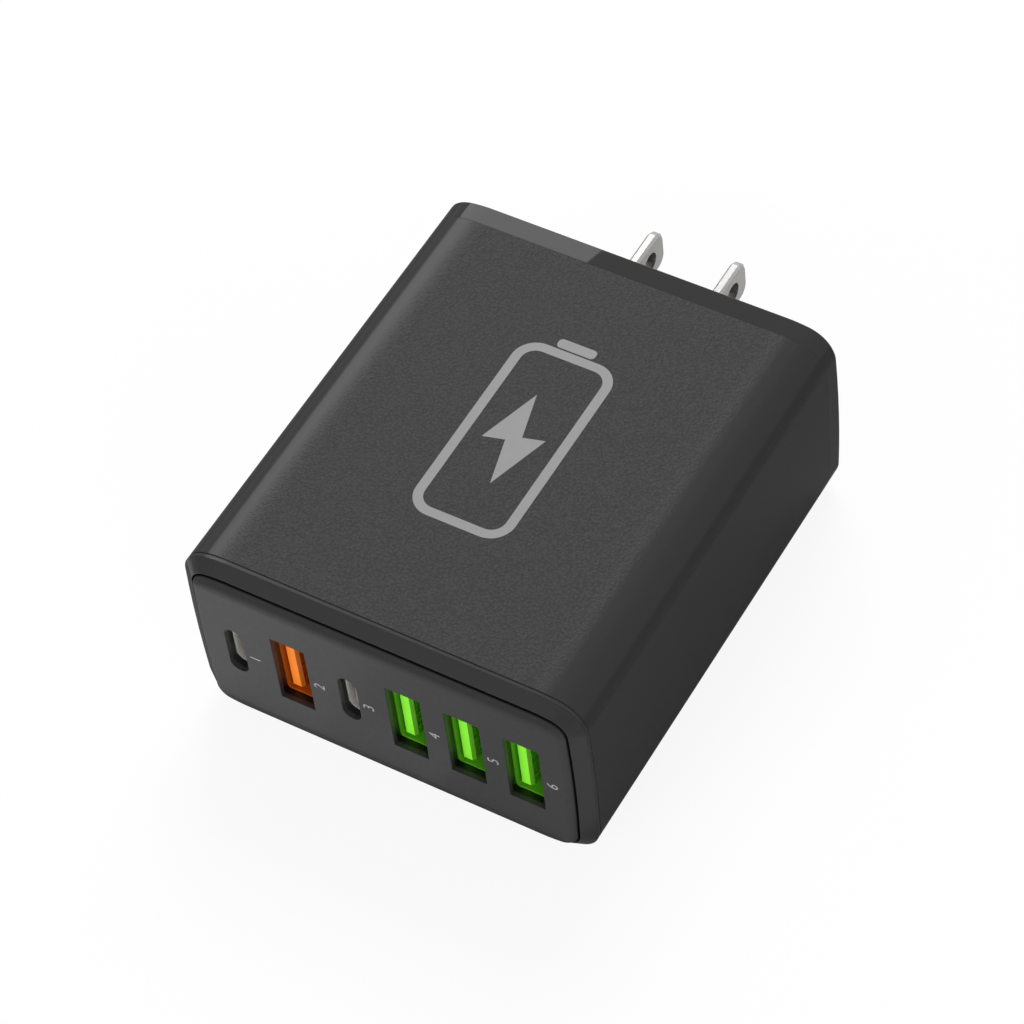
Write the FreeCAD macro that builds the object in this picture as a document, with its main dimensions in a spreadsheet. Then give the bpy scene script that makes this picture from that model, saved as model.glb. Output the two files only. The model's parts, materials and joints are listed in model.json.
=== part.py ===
import FreeCAD, Part
import os
from math import atan2, hypot, pi, sqrt
from types import SimpleNamespace

import Sketcher

# A wall charger with six ports in its front panel and two flat blades at its back.
# X is the width, +Y points at the wall, +Z is up with the charger lying on its large face.
# The origin is the middle of the face that it lies on. Lengths are in millimetres.

DRIVING_SIZES = [
    # The case
    ("case_width", 58.6),
    ("case_length", 68.6),
    ("case_height", 30.7),
    ("corner_radius", 4.65),
    ("shoulder_radius", 18),
    ("shoulder_margin", 7.3),
    ("side_crown_radius", 250),
    ("case_wall", 1.9),
    ("rim_bevel_inset", 1.78),
    ("rim_bevel_depth", 1.35),
    ("rim_land", 0.08),
    ("trim_line_setback", 1.78),
    ("trim_line_width", 0.25),
    ("trim_line_depth", 0.12),
    ("ledge_width", 1.4),
    ("ledge_depth", 1.5),
    ("rail_height", 2.6),
    ("rail_width", 1.6),
    ("rail_spacing", 42),
    # The port panel
    ("panel_rise", 0.85),
    ("panel_gap", 0.18),
    ("panel_thickness", 2.4),
    ("panel_edge_radius", 1.15),
    ("port_wall", 1.5),
    ("first_port_margin", 7.57),
    ("last_port_margin", 8.73),
    # The rear cover and its blades
    ("rear_cover_thickness", 3.1),
    ("rear_edge_bevel", 0.2),
    ("spigot_depth", 2),
    ("spigot_wall", 1.5),
    ("spigot_clearance", 0.15),
    ("blade_spacing", 12.7),
    ("blade_width", 6.35),
    ("blade_thickness", 1.5),
    ("blade_length", 16),
    ("blade_tip_radius", 2),
    ("blade_tip_chamfer", 0.35),
    ("blade_hole_diameter", 3.2),
    ("blade_hole_setback", 4),
    ("blade_head_depth", 2),
    ("blade_head_step", 1),
    ("blade_clearance", 0.05),
    ("terminal_width", 4),
    ("terminal_sheet", 0.5),
    ("terminal_foot", 3.5),
    # The receptacles
    ("receptacle_depth", 12),
    ("shell_sheet", 0.3),
    ("shell_corner_radius", 0.5),
    ("shell_step", 0.1),
    ("shell_gap", 0.15),
    ("insulator_clearance", 0.05),
    ("insulator_base_depth", 2.5),
    ("usb_a_opening_width", 5.1),
    ("usb_a_opening_height", 12.4),
    ("usb_a_tongue_thickness", 1.65),
    ("usb_a_tongue_height", 11.1),
    ("usb_a_tongue_offset", 0.64),
    ("usb_a_tongue_recess", 2.0),
    ("usb_a_tongue_chamfer", 0.4),
    ("usb_a_slot_depth", 0.35),
    ("usb_a_slot_margin", 0.15),
    ("usb_a_contact_width", 1.0),
    ("usb_a_contact_pitch", 2.5),
    ("usb_c_opening_width", 2.75),
    ("usb_c_opening_height", 8.5),
    ("usb_c_tongue_thickness", 0.7),
    ("usb_c_tongue_height", 6.7),
    ("usb_c_tongue_recess", 1.9),
    ("usb_c_contact_width", 0.26),
    ("usb_c_contact_pitch", 0.5),
    ("contact_sheet", 0.15),
    ("contact_setback", 0.5),
    # The boards
    ("board_clearance", 0.4),
    ("port_board_thickness", 1.2),
    ("main_board_thickness", 1.6),
    ("insulating_sheet_thickness", 0.3),
    ("pin_strip_width", 15.24),
    ("pin_strip_depth", 2.5),
    ("pin_strip_height", 2.5),
    ("pin_pitch", 2.54),
    ("pin_thickness", 0.6),
    # The mains side of the main board
    ("fuse_diameter", 3.6),
    ("fuse_length", 10),
    ("fuse_cap_length", 2.2),
    ("fuse_cap_step", 0.3),
    ("mains_capacitor_width", 6),
    ("mains_capacitor_depth", 11),
    ("mains_capacitor_height", 10),
    ("choke_width", 11),
    ("choke_depth", 7.5),
    ("choke_height", 10),
    ("choke_leg", 2.4),
    ("choke_winding_thickness", 1.2),
    ("bulk_capacitor_diameter", 11),
    ("bulk_capacitor_height", 15),
    # The transformer
    ("transformer_width", 24),
    ("transformer_depth", 16),
    ("core_back", 3.6),
    ("core_outer_leg", 3.6),
    ("core_middle_leg", 7.6),
    ("bobbin_wall", 0.8),
    ("bobbin_clearance", 0.15),
    ("winding_clearance", 0.4),
    # What crosses the isolation gap, and the output side
    ("bridging_capacitor_diameter", 8),
    ("bridging_capacitor_thickness", 3.5),
    ("output_capacitor_diameter", 7),
    ("output_capacitor_height", 10),
    ("inductor_width", 7),
    ("inductor_height", 4.5),
    # The cooling
    ("spreader_sheet", 0.6),
    ("spreader_gap", 0.3),
    ("spreader_lip", 3),
    ("spreader_overhang", 4),
    ("thermal_pad_thickness", 1.5),
    # The chips
    ("optocoupler_width", 4.6),
    ("optocoupler_depth", 6.4),
    ("optocoupler_height", 3.5),
    ("controller_chip_width", 4),
    ("controller_chip_depth", 5),
    ("controller_chip_height", 1.5),
    ("bridge_rectifier_width", 8),
    ("bridge_rectifier_depth", 8.5),
    ("bridge_rectifier_height", 1.5),
    ("power_switch_width", 7),
    ("power_switch_depth", 6.5),
    ("power_switch_height", 1.1),
    ("synchronous_rectifier_width", 5),
    ("synchronous_rectifier_depth", 5.5),
    ("synchronous_rectifier_height", 1.0),
    ("lead_width", 0.5),
    ("lead_sheet", 0.25),
    ("lead_reach", 0.8),
    ("lead_pitch", 1.27),
]

# The kinds of port along the row, from -X to +X
PORT_ROW = ("c", "a", "c", "a", "a", "a")

# How many contacts a USB-A tongue and each side of a USB-C tongue carry, and the pins between the boards
USB_A_CONTACTS = 4
USB_C_CONTACTS = 12
BOARD_PINS = 6

# Leads on each side of a chip
CHIP_LEADS = {
    "optocoupler": 2,
    "controller_chip": 4,
    "bridge_rectifier": 2,
    "power_switch": 4,
    "synchronous_rectifier": 4,
}

# Points closer than this count as one
TOUCH = 1e-4


class Size:
    """A length, together with the formula over the sheet that gives it."""

    def __init__(self, value, formula):
        self.value = value
        self.formula = formula

    def __add__(self, other):
        other = as_size(other)
        return Size(self.value + other.value, f"({self.formula} + {other.formula})")

    def __sub__(self, other):
        other = as_size(other)
        return Size(self.value - other.value, f"({self.formula} - {other.formula})")

    def __mul__(self, other):
        other = as_size(other)
        return Size(self.value * other.value, f"({self.formula} * {other.formula})")

    def __truediv__(self, other):
        other = as_size(other)
        return Size(self.value / other.value, f"({self.formula} / {other.formula})")

    def __radd__(self, other):
        return as_size(other) + self

    def __rsub__(self, other):
        return as_size(other) - self

    def __rmul__(self, other):
        return as_size(other) * self

    def __neg__(self):
        return as_size(0) - self


def as_size(number):
    return number if isinstance(number, Size) else Size(number, str(number))


def fill_sheet(document):
    """Write the driving sizes to the sheet and return them by name."""
    sheet = document.addObject("Spreadsheet::Sheet", "Sizes")
    sizes = SimpleNamespace()
    for row, (alias, number) in enumerate(DRIVING_SIZES, start=1):
        sheet.set(f"A{row}", alias.replace("_", " "))
        sheet.set(f"B{row}", str(number))
        sheet.setAlias(f"B{row}", alias)
        setattr(sizes, alias, Size(number, f"Sizes.{alias}"))
    document.recompute()
    return sizes


doc = FreeCAD.newDocument("usb_charger")
s = fill_sheet(doc)
sub_parts = []

# Places that several pieces share
wall_y = s.case_length / 2
middle_z = s.case_height / 2
rim_inset = s.rim_bevel_inset + s.rim_land
panel_inset = rim_inset + s.panel_gap
panel_back = s.case_length - s.panel_thickness
port_seat = s.case_length - s.port_wall
port_board_front = port_seat - s.receptacle_depth
port_board_back = port_board_front - s.port_board_thickness
base_front = port_board_front + s.insulator_base_depth
base_front_y = wall_y - base_front
shell_wrap = 2 * s.shell_sheet - 2 * s.shell_step
shell_outer_radius = s.shell_corner_radius + s.shell_sheet
usb_a_shell_width = s.usb_a_opening_width + shell_wrap
usb_a_shell_height = s.usb_a_opening_height + shell_wrap
usb_c_shell_width = s.usb_c_opening_width + shell_wrap
usb_c_shell_height = s.usb_c_opening_height + shell_wrap
cavity_width = s.case_width - 2 * s.case_wall
board_width = cavity_width - 2 * s.board_clearance
board_front_y = wall_y - port_board_back
board_rear_y = wall_y - s.rear_cover_thickness - s.spigot_depth - s.board_clearance
board_under = s.case_wall + s.rail_height
board_top = board_under + s.main_board_thickness
spreader_under = s.case_height - s.case_wall - s.spreader_gap - s.spreader_sheet
transformer_height = spreader_under - s.thermal_pad_thickness - board_top
bore_width = s.core_middle_leg + 2 * s.bobbin_clearance
flange_reach = s.transformer_width - 2 * s.core_outer_leg - 2 * s.bobbin_clearance - bore_width
core_depth = s.transformer_depth - flange_reach - 2 * s.bobbin_clearance


def bind(thing, name, size):
    thing.setExpression(name, as_size(size).formula)


def move_to(thing, x=0, y=0, z=0):
    for axis, size in zip("xyz", (x, y, z)):
        bind(thing, f"Placement.Base.{axis}", size)


def keep(thing, label):
    """Name a finished piece and add it to what is written."""
    thing.Label = label
    sub_parts.append(thing)
    return thing


def new_body(label, x=0, y=0, z=0):
    body = doc.addObject("PartDesign::Body", label)
    move_to(body, x, y, z)
    return keep(body, label)


def new_case_body(label, x=0):
    """A body drawn on the wall face: x across, y up from mid-height, z towards the user."""
    body = doc.addObject("PartDesign::Body", label)
    body.Placement = FreeCAD.Placement(FreeCAD.Vector(), FreeCAD.Rotation(FreeCAD.Vector(1, 0, 0), 90))
    move_to(body, x, wall_y, middle_z)
    return keep(body, label)


def new_sketch(body, name, height=0, plane="XY_Plane"):
    sketch = body.newObject("Sketcher::SketchObject", name)
    support = [feature for feature in body.Origin.OriginFeatures if feature.Role == plane][0]
    sketch.AttachmentSupport = [(support, "")]
    sketch.MapMode = "FlatFace"
    bind(sketch, "AttachmentOffset.Base.z", height)
    return sketch


def dimension(sketch, size, kind, *references):
    index = sketch.addConstraint(Sketcher.Constraint(kind, *references, as_size(size).value))
    bind(sketch, f"Constraints[{index}]", size)


def set_point(sketch, geometry, point, x, y):
    """Fix a point of the geometry at its place from the sketch's origin."""
    dimension(sketch, x, "DistanceX", -1, 1, geometry, point)
    dimension(sketch, y, "DistanceY", -1, 1, geometry, point)


def vector(x, y):
    return FreeCAD.Vector(as_size(x).value, as_size(y).value, 0)


def draw_polygon(sketch, points):
    first = sketch.GeometryCount
    count = len(points)
    for index in range(count):
        start = vector(*points[index])
        end = vector(*points[(index + 1) % count])
        sketch.addGeometry(Part.LineSegment(start, end), False)
    for index in range(count):
        following = first + (index + 1) % count
        sketch.addConstraint(Sketcher.Constraint("Coincident", first + index, 2, following, 1))
    for index, (x, y) in enumerate(points):
        set_point(sketch, first + index, 1, x, y)


def draw_rectangle(sketch, width, height, x=0, y=0):
    left, right = x - width / 2, x + width / 2
    low, high = y - height / 2, y + height / 2
    draw_polygon(sketch, [(left, low), (right, low), (right, high), (left, high)])


def draw_circle(sketch, diameter, x=0, y=0):
    circle = sketch.addGeometry(Part.Circle(vector(x, y), FreeCAD.Vector(0, 0, 1), diameter.value / 2), False)
    set_point(sketch, circle, 3, x, y)
    dimension(sketch, diameter, "Diameter", circle)


def arc(center, radius, start, end):
    circle = Part.Circle(center, FreeCAD.Vector(0, 0, 1), radius)
    return Part.ArcOfCircle(circle, start, end)


def join_tangent(sketch, geometry):
    """Close a chain of lines and arcs, each running smoothly into the next."""
    for piece, following in zip(geometry, geometry[1:] + geometry[:1]):
        sketch.addConstraint(Sketcher.Constraint("Tangent", piece, 2, following, 1))


def draw_rounded_rectangle(sketch, width, height, radius, x=0):
    """A rectangle with round corners, at mid-height of its sketch."""
    w, h, r = as_size(width).value / 2, as_size(height).value / 2, as_size(radius).value
    west, east = as_size(x).value - w, as_size(x).value + w
    point = FreeCAD.Vector
    bottom, corner_1, right, corner_2, top, corner_3, left, corner_4 = sketch.addGeometry([
        Part.LineSegment(point(west + r, -h, 0), point(east - r, -h, 0)),
        arc(point(east - r, r - h, 0), r, -pi / 2, 0),
        Part.LineSegment(point(east, r - h, 0), point(east, h - r, 0)),
        arc(point(east - r, h - r, 0), r, 0, pi / 2),
        Part.LineSegment(point(east - r, h, 0), point(west + r, h, 0)),
        arc(point(west + r, h - r, 0), r, pi / 2, pi),
        Part.LineSegment(point(west, h - r, 0), point(west, r - h, 0)),
        arc(point(west + r, r - h, 0), r, pi, 3 * pi / 2),
    ], False)
    join_tangent(sketch, [bottom, corner_1, right, corner_2, top, corner_3, left, corner_4])
    for line in (bottom, top):
        sketch.addConstraint(Sketcher.Constraint("Horizontal", line))
    for line in (left, right):
        sketch.addConstraint(Sketcher.Constraint("Vertical", line))
    for corner in (corner_2, corner_3, corner_4):
        sketch.addConstraint(Sketcher.Constraint("Equal", corner_1, corner))
    dimension(sketch, radius, "Radius", corner_1)
    dimension(sketch, x + width / 2, "DistanceX", -1, 1, right, 1)
    dimension(sketch, x - width / 2, "DistanceX", -1, 1, left, 1)
    dimension(sketch, height / 2, "DistanceY", -1, 1, top, 1)
    dimension(sketch, -height / 2, "DistanceY", -1, 1, bottom, 1)


def draw_stadium(sketch, width, height, x=0):
    """An upright slot with round ends, as a receptacle that takes its plug either way round."""
    r, h = as_size(width).value / 2, as_size(height - width).value / 2
    middle = as_size(x).value
    point = FreeCAD.Vector
    right, top, left, bottom = sketch.addGeometry([
        Part.LineSegment(point(middle + r, -h, 0), point(middle + r, h, 0)),
        arc(point(middle, h, 0), r, 0, pi),
        Part.LineSegment(point(middle - r, h, 0), point(middle - r, -h, 0)),
        arc(point(middle, -h, 0), r, pi, 2 * pi),
    ], False)
    join_tangent(sketch, [right, top, left, bottom])
    for line in (left, right):
        sketch.addConstraint(Sketcher.Constraint("Vertical", line))
    dimension(sketch, x + width / 2, "DistanceX", -1, 1, right, 1)
    dimension(sketch, x - width / 2, "DistanceX", -1, 1, left, 1)
    dimension(sketch, (height - width) / 2, "DistanceY", -1, 1, top, 3)
    dimension(sketch, (width - height) / 2, "DistanceY", -1, 1, bottom, 3)


def draw_case_section(sketch, inset):
    """The case's outline moved inwards: flat faces, gentle shoulders, round corners and crowned sides."""
    width, height = s.case_width - 2 * inset, s.case_height - 2 * inset
    shoulder_x = s.case_width / 2 - s.shoulder_margin
    shoulder, corner, crown = s.shoulder_radius - inset, s.corner_radius - inset, s.side_crown_radius - inset
    w, h, x = width.value / 2, height.value / 2, shoulder_x.value
    big, r, crowned = shoulder.value, corner.value, crown.value

    # The corner's centre lies where it touches both the shoulder and the side from within
    low, side_x = h - big, w - crowned
    base = hypot(x - side_x, low)
    along = (base ** 2 + (crowned - r) ** 2 - (big - r) ** 2) / (2 * base)
    across = sqrt((crowned - r) ** 2 - along ** 2)
    corner_x = side_x + (along * (x - side_x) - across * low) / base
    corner_z = (along * low + across * (x - side_x)) / base
    turn = atan2(corner_z, corner_x - side_x)
    tilt = atan2(corner_z - low, corner_x - x)

    def quarter(sx, sz, start):
        """The round corner of one quarter, between angles that grow from the given one."""
        return arc(FreeCAD.Vector(sx * corner_x, sz * corner_z, 0), r, start, start + tilt - turn)

    def slope(sx, sz, start):
        return arc(FreeCAD.Vector(sx * x, sz * low, 0), big, start, start + pi / 2 - tilt)

    def flat(sx, z):
        return Part.LineSegment(FreeCAD.Vector(-sx * x, z, 0), FreeCAD.Vector(sx * x, z, 0))

    def side(sx, start):
        return arc(FreeCAD.Vector(sx * side_x, 0, 0), crowned, start, start + 2 * turn)

    pieces = sketch.addGeometry([
        flat(1, -h), slope(1, -1, -pi / 2), quarter(1, -1, -tilt),
        side(1, -turn), quarter(1, 1, turn), slope(1, 1, tilt),
        flat(-1, h), slope(-1, 1, pi / 2), quarter(-1, 1, pi - tilt),
        side(-1, pi - turn), quarter(-1, -1, pi + turn), slope(-1, -1, pi + tilt),
    ], False)
    join_tangent(sketch, list(pieces))
    bottom, right, top, left = pieces[0], pieces[3], pieces[6], pieces[9]
    shoulders = [pieces[i] for i in (1, 5, 7, 11)]
    corners = [pieces[i] for i in (2, 4, 8, 10)]
    for line in (bottom, top):
        sketch.addConstraint(Sketcher.Constraint("Horizontal", line))
    for arcs, radius in ((shoulders, shoulder), (corners, corner), ((right, left), crown)):
        for following in arcs[1:]:
            sketch.addConstraint(Sketcher.Constraint("Equal", arcs[0], following))
        dimension(sketch, radius, "Radius", arcs[0])
    for crowned_side in (right, left):
        sketch.addConstraint(Sketcher.Constraint("PointOnObject", crowned_side, 3, -1))
    dimension(sketch, width / 2 - crown, "DistanceX", -1, 1, right, 3)
    dimension(sketch, crown - width / 2, "DistanceX", -1, 1, left, 3)
    set_point(sketch, bottom, 1, -shoulder_x, -height / 2)
    dimension(sketch, shoulder_x, "DistanceX", -1, 1, bottom, 2)
    set_point(sketch, top, 1, shoulder_x, height / 2)
    dimension(sketch, -shoulder_x, "DistanceX", -1, 1, top, 2)


def pad(sketch, length, both_ways=False):
    body = sketch.getParentGeoFeatureGroup()
    feature = body.newObject("PartDesign::Pad", sketch.Name + "_pad")
    feature.Profile = sketch
    if both_ways:
        feature.SideType = "Symmetric"
    bind(feature, "Length", length)
    return feature


def cut(sketch, length):
    """Cut upwards from the sketch."""
    body = sketch.getParentGeoFeatureGroup()
    feature = body.newObject("PartDesign::Pocket", sketch.Name + "_cut")
    feature.Profile = sketch
    feature.Reversed = True
    bind(feature, "Length", length)
    return feature


def edges_where(feature, tests):
    """Names of the edges of a feature whose every vertex passes one of the tests."""
    doc.recompute()
    names = []
    for number, edge in enumerate(feature.Shape.Edges, start=1):
        points = [vertex.Point for vertex in edge.Vertexes]
        if any(all(test(point) for point in points) for test in tests):
            names.append(f"Edge{number}")
    return names


def near(a, b):
    return abs(a - as_size(b).value) < TOUCH


def round_edges(feature, radius, *tests):
    body = feature.getParentGeoFeatureGroup()
    names = edges_where(feature, tests)
    fillet = body.newObject("PartDesign::Fillet", feature.Name + "_round")
    fillet.Base = (feature, names)
    bind(fillet, "Radius", radius)
    return fillet


def bevel_edges(feature, size, *tests):
    body = feature.getParentGeoFeatureGroup()
    names = edges_where(feature, tests)
    chamfer = body.newObject("PartDesign::Chamfer", feature.Name + "_bevel")
    chamfer.Base = (feature, names)
    bind(chamfer, "Size", size)
    return chamfer


def port_x(index):
    pitch = (s.case_width - s.first_port_margin - s.last_port_margin) / (len(PORT_ROW) - 1)
    return s.first_port_margin - s.case_width / 2 + pitch * index


def centred(count, pitch):
    """Places of a row of equal steps, with the middle of the row at zero."""
    return [pitch * (step - (count - 1) / 2) for step in range(count)]


def spread(widths, low, high):
    """Middles of pieces that stand side by side between two limits with equal gaps."""
    gap = (high - low - sum(widths)) / (len(widths) + 1)
    return [low + sum(widths[:i]) + width / 2 + gap * (i + 1) for i, width in enumerate(widths)]


def make_housing_sleeve():
    """The tube of the case, with a bevelled rim, a ledge for the panel and rails for the main board."""
    body = new_case_body("housing_sleeve")
    rear, front = s.rear_cover_thickness, s.case_length - s.panel_rise
    outline = new_sketch(body, "sleeve_outline", rear)
    draw_case_section(outline, as_size(0))
    tube = pad(outline, front - rear)
    rim = bevel_edges(tube, s.rim_bevel_depth, lambda p: near(p.z, front))
    rim.ChamferType = "Two distances"
    bind(rim, "Size2", s.rim_bevel_inset)

    trim_line = new_sketch(body, "sleeve_trim_line", front - s.trim_line_setback - s.trim_line_width)
    draw_rectangle(trim_line, 2 * s.case_width, 2 * s.case_height)
    draw_case_section(trim_line, s.trim_line_depth)
    cut(trim_line, s.trim_line_width)

    ledge_back = panel_back - s.ledge_depth
    cavity = new_sketch(body, "sleeve_cavity", rear)
    draw_case_section(cavity, s.case_wall)
    cut(cavity, ledge_back - rear)
    ledge = new_sketch(body, "sleeve_ledge", ledge_back)
    draw_case_section(ledge, s.case_wall + s.ledge_width)
    cut(ledge, s.ledge_depth)
    recess = new_sketch(body, "sleeve_panel_recess", panel_back)
    draw_case_section(recess, rim_inset)
    cut(recess, s.panel_thickness)

    rails = new_sketch(body, "sleeve_rails", rear + s.spigot_depth + s.board_clearance)
    rail_middle = s.case_wall + s.rail_height / 2 - s.case_height / 2
    sunk = s.case_wall / 2
    for side in (-1, 1):
        x = s.rail_spacing / 2 * side
        draw_rectangle(rails, s.rail_width, s.rail_height + sunk, x, rail_middle - sunk / 2)
    pad(rails, board_rear_y - board_front_y)


def make_port_panel():
    """The front panel: a plate with a rounded front edge, and an opening with a square seat for each port."""
    body = new_case_body("port_panel")
    outline = new_sketch(body, "panel_outline", panel_back)
    draw_case_section(outline, panel_inset)
    plate = pad(outline, s.panel_thickness)
    round_edges(plate, s.panel_edge_radius, lambda p: near(p.z, s.case_length))
    openings = new_sketch(body, "panel_openings", port_seat)
    seats = new_sketch(body, "panel_seats", panel_back)
    play = 2 * s.insulator_clearance
    for index, kind in enumerate(PORT_ROW):
        x = port_x(index)
        if kind == "a":
            draw_rectangle(openings, s.usb_a_opening_width, s.usb_a_opening_height, x)
            draw_rectangle(seats, usb_a_shell_width + play, usb_a_shell_height + play, x)
        else:
            draw_stadium(openings, s.usb_c_opening_width, s.usb_c_opening_height, x)
            draw_rectangle(seats, usb_c_shell_width + play, usb_c_shell_height + play, x)
    cut(openings, s.port_wall)
    cut(seats, port_seat - panel_back)


def make_rear_cover():
    """The cover that meets the wall, with a spigot inside the sleeve and a slot for each blade."""
    body = new_case_body("rear_cover")
    outline = new_sketch(body, "cover_outline")
    draw_case_section(outline, as_size(0))
    plate = pad(outline, s.rear_cover_thickness)
    bevel_edges(plate, s.rear_edge_bevel, lambda p: near(p.z, 0))
    spigot = new_sketch(body, "cover_spigot", s.rear_cover_thickness)
    draw_case_section(spigot, s.case_wall + s.spigot_clearance)
    draw_case_section(spigot, s.case_wall + s.spigot_clearance + s.spigot_wall)
    pad(spigot, s.spigot_depth)
    slots = new_sketch(body, "cover_slots")
    for side in (-1, 1):
        width = s.blade_thickness + 2 * s.blade_clearance
        height = s.blade_width + 2 * s.blade_clearance
        draw_rectangle(slots, width, height, s.blade_spacing / 2 * side)
    cut(slots, s.rear_cover_thickness)


def make_plug_blade(label, side):
    """A flat blade with a rounded tip, a detent hole and a head that seats inside the rear cover."""
    body = new_body(label, s.blade_spacing / 2 * side, wall_y, middle_z)
    tip, seat = s.blade_length, -s.rear_cover_thickness
    end = seat - s.blade_head_depth
    half = s.blade_width / 2
    side_x = s.blade_thickness / 2
    head = half + s.blade_head_step
    outline = new_sketch(body, label + "_outline", plane="YZ_Plane")
    draw_polygon(outline, [
        (end, -head), (seat, -head), (seat, -half), (tip, -half),
        (tip, half), (seat, half), (seat, head), (end, head),
    ])
    draw_circle(outline, s.blade_hole_diameter, tip - s.blade_hole_setback)
    strip = pad(outline, s.blade_thickness, both_ways=True)

    corners = [lambda p, z=z: near(p.y, tip) and near(p.z, z) for z in (half, -half)]
    rounded = round_edges(strip, s.blade_tip_radius, *corners)
    tip_start = tip.value - s.blade_tip_radius.value - TOUCH
    rims = [lambda p, x=x: near(p.x, x) and p.y > tip_start and not near(p.z, 0) for x in (side_x, -side_x)]
    bevel_edges(rounded, s.blade_tip_chamfer, *rims)


def make_blade_terminal(label, side):
    """A folded strip from a blade's head down to the main board."""
    body = new_body(label, s.blade_spacing / 2 * side)
    contact_y = wall_y - s.rear_cover_thickness - s.blade_head_depth
    toe_y = contact_y - s.terminal_foot
    inner_y = contact_y - s.terminal_sheet
    foot_top = board_top + s.terminal_sheet
    top = middle_z + s.blade_width / 2
    outline = new_sketch(body, label + "_outline", plane="YZ_Plane")
    draw_polygon(outline, [
        (toe_y, board_top), (contact_y, board_top), (contact_y, top),
        (inner_y, top), (inner_y, foot_top), (toe_y, foot_top),
    ])
    pad(outline, s.terminal_width, both_ways=True)


def make_strips(label, boxes):
    """A group of separate box-shaped strips, each given as its low corner and its three sizes."""
    strips = []
    for number, (corner, lengths) in enumerate(boxes, start=1):
        strip = doc.addObject("Part::Box", f"{label}_{number}")
        move_to(strip, *corner)
        for name, length in zip(("Length", "Width", "Height"), lengths):
            bind(strip, name, length)
        strips.append(strip)
    group = doc.addObject("Part::Compound", label)
    group.Links = strips
    return keep(group, label)


def make_usb_a_receptacle(number, x):
    """A USB-A receptacle: a folded shell, an insulator with a slotted tongue, and a contact in each slot."""
    width, height = usb_a_shell_width - 2 * s.shell_sheet, usb_a_shell_height - 2 * s.shell_sheet
    shell = new_case_body(f"usb_a_shell_{number}", x)
    walls = new_sketch(shell, f"usb_a_shell_{number}_walls", port_board_front)
    draw_rounded_rectangle(walls, usb_a_shell_width, usb_a_shell_height, shell_outer_radius)
    draw_rounded_rectangle(walls, width, height, s.shell_corner_radius)
    pad(walls, s.receptacle_depth - s.shell_gap)

    insulator = new_case_body(f"usb_a_insulator_{number}", x)
    base = new_sketch(insulator, f"usb_a_base_{number}", port_board_front)
    play = 2 * s.insulator_clearance
    draw_rounded_rectangle(base, width - play, height - play, s.shell_corner_radius)
    pad(base, s.insulator_base_depth)
    tongue = new_sketch(insulator, f"usb_a_tongue_{number}", base_front)
    tongue_low_x = s.usb_a_tongue_offset - s.usb_a_opening_width / 2
    tongue_high_x = tongue_low_x + s.usb_a_tongue_thickness
    tongue_x = (tongue_low_x + tongue_high_x) / 2
    draw_rectangle(tongue, s.usb_a_tongue_thickness, s.usb_a_tongue_height, tongue_x)
    tongue_front = s.case_length - s.usb_a_tongue_recess
    slab = pad(tongue, tongue_front - base_front)
    lead_in = s.usb_a_tongue_chamfer
    bevel_edges(slab, lead_in, lambda p: near(p.z, tongue_front) and near(p.x, tongue_high_x))
    places = centred(USB_A_CONTACTS, s.usb_a_contact_pitch)
    slots = new_sketch(insulator, f"usb_a_slots_{number}", base_front)
    slot_width = s.usb_a_contact_width + 2 * s.usb_a_slot_margin
    for place in places:
        draw_rectangle(slots, 2 * s.usb_a_slot_depth, slot_width, tongue_high_x, place)
    cut(slots, tongue_front - lead_in - s.usb_a_slot_margin - base_front)

    contact_x = x + tongue_high_x - s.usb_a_slot_depth
    contact_y = wall_y - tongue_front + lead_in + s.contact_setback
    contact_sizes = (s.contact_sheet, base_front_y - contact_y, s.usb_a_contact_width)
    contacts = []
    for place in places:
        low_z = middle_z + place - s.usb_a_contact_width / 2
        contacts.append(((contact_x, contact_y, low_z), contact_sizes))
    make_strips(f"usb_a_contacts_{number}", contacts)


def make_usb_c_receptacle(number, x):
    """A USB-C receptacle: a drawn shell, an insulator with its thin tongue, and contacts on both sides."""
    width, height = usb_c_shell_width - 2 * s.shell_sheet, usb_c_shell_height - 2 * s.shell_sheet
    shell = new_case_body(f"usb_c_shell_{number}", x)
    walls = new_sketch(shell, f"usb_c_shell_{number}_walls", port_board_front)
    draw_stadium(walls, usb_c_shell_width, usb_c_shell_height)
    draw_stadium(walls, width, height)
    pad(walls, s.receptacle_depth - s.shell_gap)

    insulator = new_case_body(f"usb_c_insulator_{number}", x)
    base = new_sketch(insulator, f"usb_c_base_{number}", port_board_front)
    play = 2 * s.insulator_clearance
    draw_stadium(base, width - play, height - play)
    pad(base, s.insulator_base_depth)
    tongue = new_sketch(insulator, f"usb_c_tongue_{number}", base_front)
    draw_rectangle(tongue, s.usb_c_tongue_thickness, s.usb_c_tongue_height)
    tongue_front = s.case_length - s.usb_c_tongue_recess
    pad(tongue, tongue_front - base_front)

    contact_y = wall_y - tongue_front + s.contact_setback
    contact_sizes = (s.contact_sheet, base_front_y - contact_y, s.usb_c_contact_width)
    half = s.usb_c_tongue_thickness / 2
    contacts = []
    for low_x in (x - half - s.contact_sheet, x + half):
        for step in centred(USB_C_CONTACTS, s.usb_c_contact_pitch):
            low_z = middle_z + step - s.usb_c_contact_width / 2
            contacts.append(((low_x, contact_y, low_z), contact_sizes))
    make_strips(f"usb_c_contacts_{number}", contacts)


def make_block(label, width, depth, height, place):
    """An upright block, its base centred on its place."""
    body = new_body(label, *place)
    outline = new_sketch(body, label + "_outline")
    draw_rectangle(outline, width, depth)
    pad(outline, height)


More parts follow.
